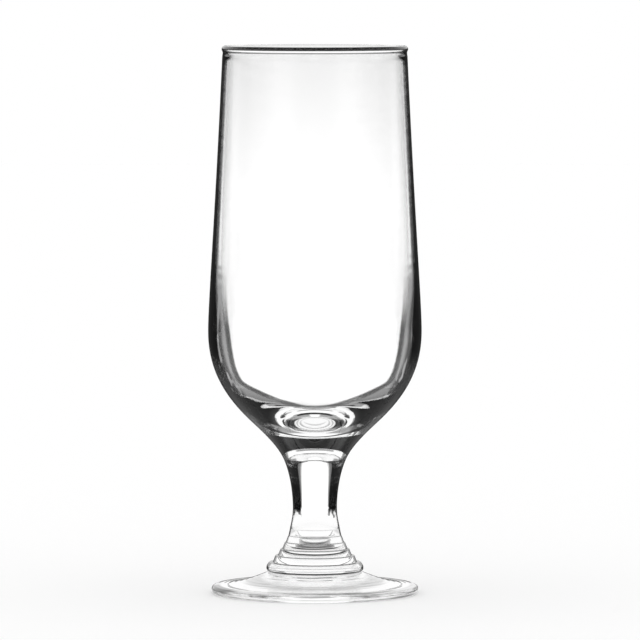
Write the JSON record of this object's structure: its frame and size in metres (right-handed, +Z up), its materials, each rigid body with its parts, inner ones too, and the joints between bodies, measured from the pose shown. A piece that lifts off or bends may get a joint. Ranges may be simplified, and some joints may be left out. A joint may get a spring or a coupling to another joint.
{
  "type": "pilsner glass",
  "caption": "Tall clear beer glass: a slightly tapered blown bowl on a short stem, a collar of stepped rings and a disc foot.",
  "frame": {"origin": "centre of the foot, on the surface that the glass stands on", "axes": "+Z up along the glass's own axis, from the foot to the rim; the glass is round, so +X and +Y are any two level directions at right angles"},
  "size_m": [0.072, 0.072, 0.185],
  "materials": {
    "bowl_glass": "clear, fire-polished soda glass",
    "stem_glass": "clear, fire-polished soda glass",
    "collar_glass": "clear, pressed soda glass",
    "foot_glass": "clear, pressed soda glass"
  },
  "bodies": {
    "root": {"bowl": "bowl_glass", "stem": "stem_glass", "collar": "collar_glass", "foot": "foot_glass"}
  },
  "joints": []
}
